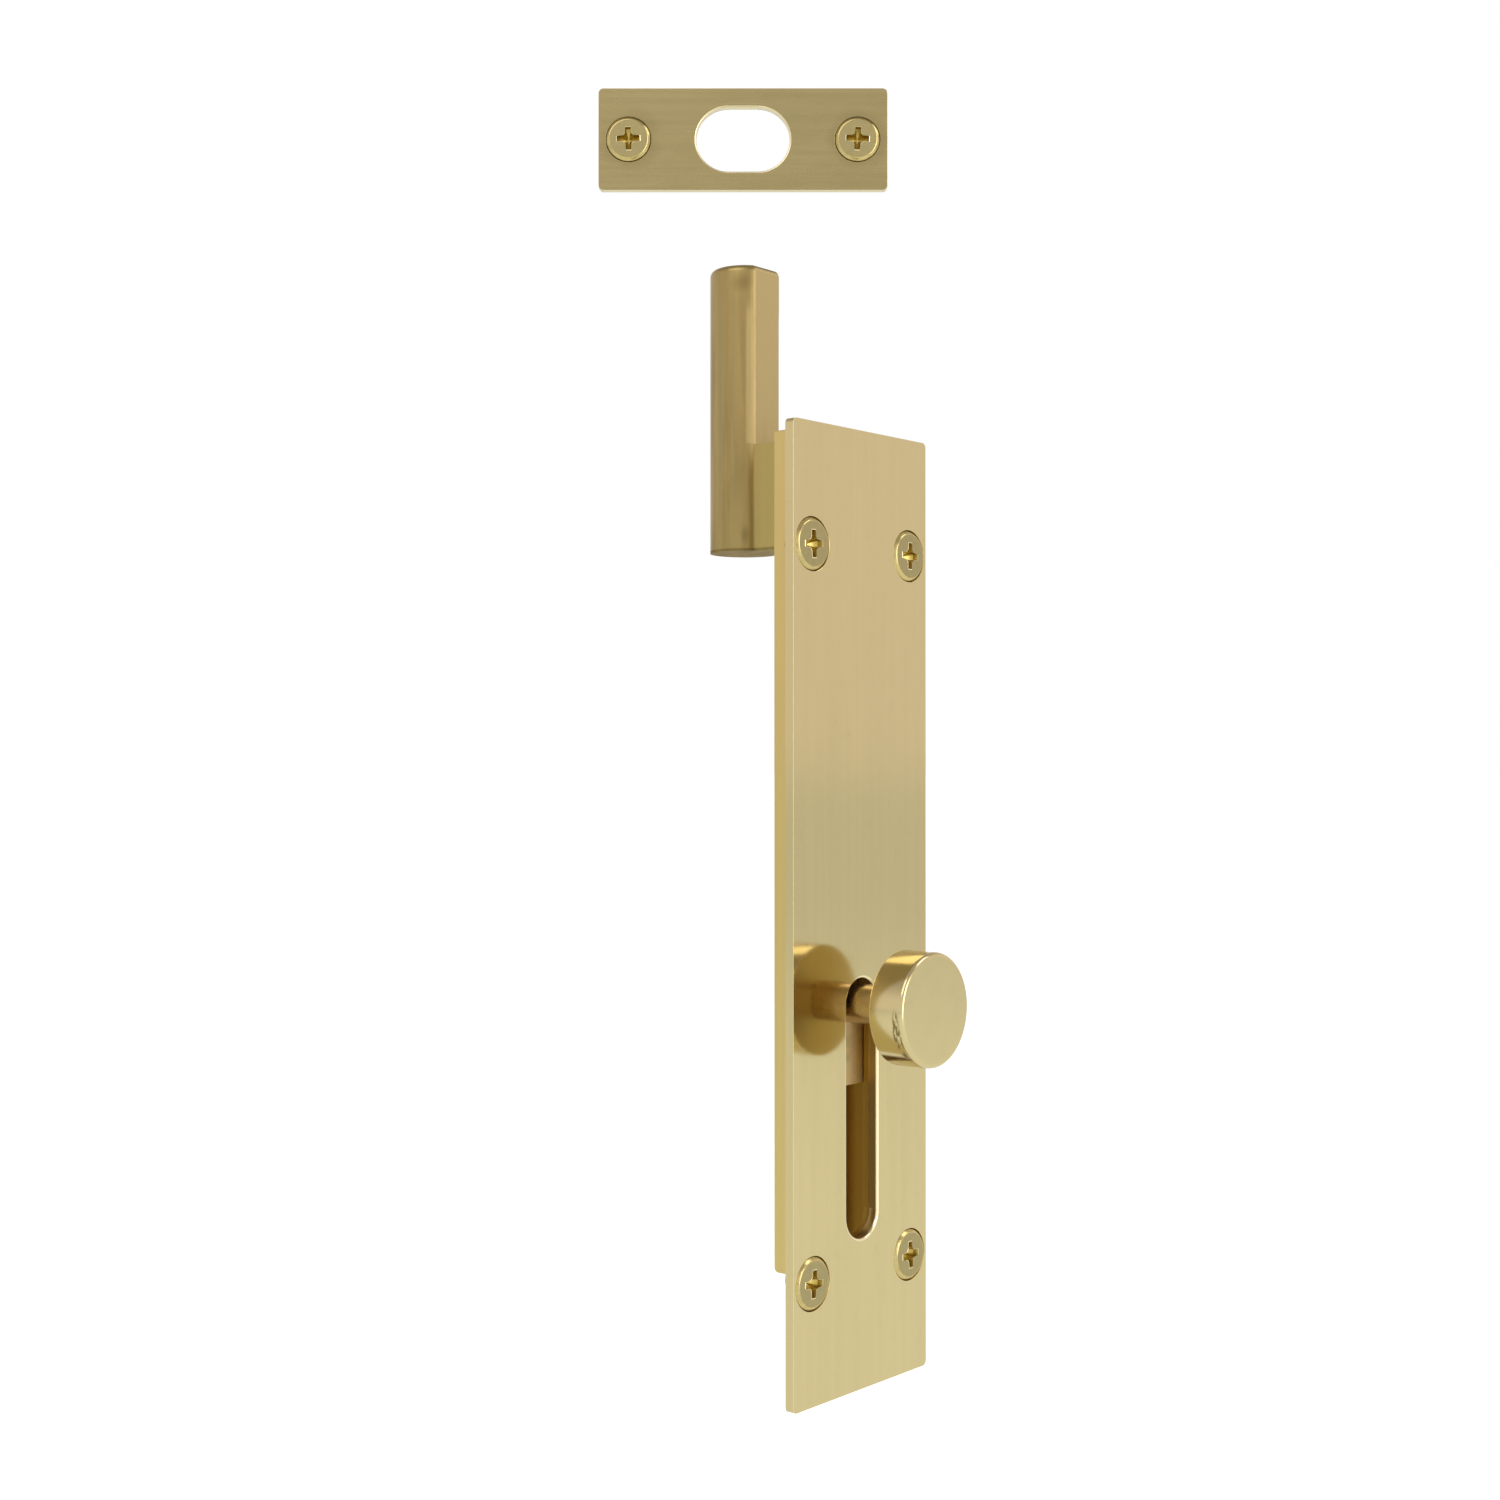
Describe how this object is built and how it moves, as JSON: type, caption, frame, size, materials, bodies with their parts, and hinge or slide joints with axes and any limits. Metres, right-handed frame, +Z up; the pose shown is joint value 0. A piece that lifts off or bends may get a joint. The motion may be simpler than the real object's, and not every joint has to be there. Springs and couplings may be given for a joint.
{
  "type": "surface slide bolt with strike plate",
  "caption": "Door bolt with a long face plate, a channel case behind it, a rod slid up and down by a round knob in a slot, and a separate strike plate.",
  "frame": {"origin": "middle of the face plate's back, in the plane of the door's face", "axes": "+X to the right seen from the room, +Y into the door, +Z up, the way the bolt is thrown"},
  "size_m": [0.0672, 0.0872, 0.2256],
  "materials": {
    "polished_brass": "mirror-polished, clear lacquered",
    "brushed_brass": "fine straight brushed grain",
    "aged_brass": "drawn and machined, tarnished with lengthways streaks",
    "screw_brass": "satin, with bright worn edges",
    "spring_steel": "satin spring temper"
  },
  "bodies": {
    "face_plate": {"front_plate": "polished_brass", "bolt_case": "polished_brass", "strike_plate": "brushed_brass", "strike_screw_left": "screw_brass", "strike_screw_right": "screw_brass", "plate_screw_upper_left": "screw_brass", "plate_screw_upper_right": "screw_brass", "plate_screw_lower_left": "screw_brass", "plate_screw_lower_right": "screw_brass"},
    "bolt": {"knob": "polished_brass", "slide_bar": "brushed_brass", "knob_stem": "brushed_brass", "bolt_rod": "aged_brass", "friction_spring": "spring_steel", "stem_set_screw": "spring_steel", "spring_rivet_lower": "screw_brass", "spring_rivet_upper": "screw_brass", "neck_screw_lower": "screw_brass", "neck_screw_upper": "screw_brass"}
  },
  "joints": [
    {"name": "bolt_slide", "type": "slide", "parent": "face_plate", "child": "bolt", "axis": [0, 0, 1], "range_m": [-0.0337, 0.0006]}
  ]
}
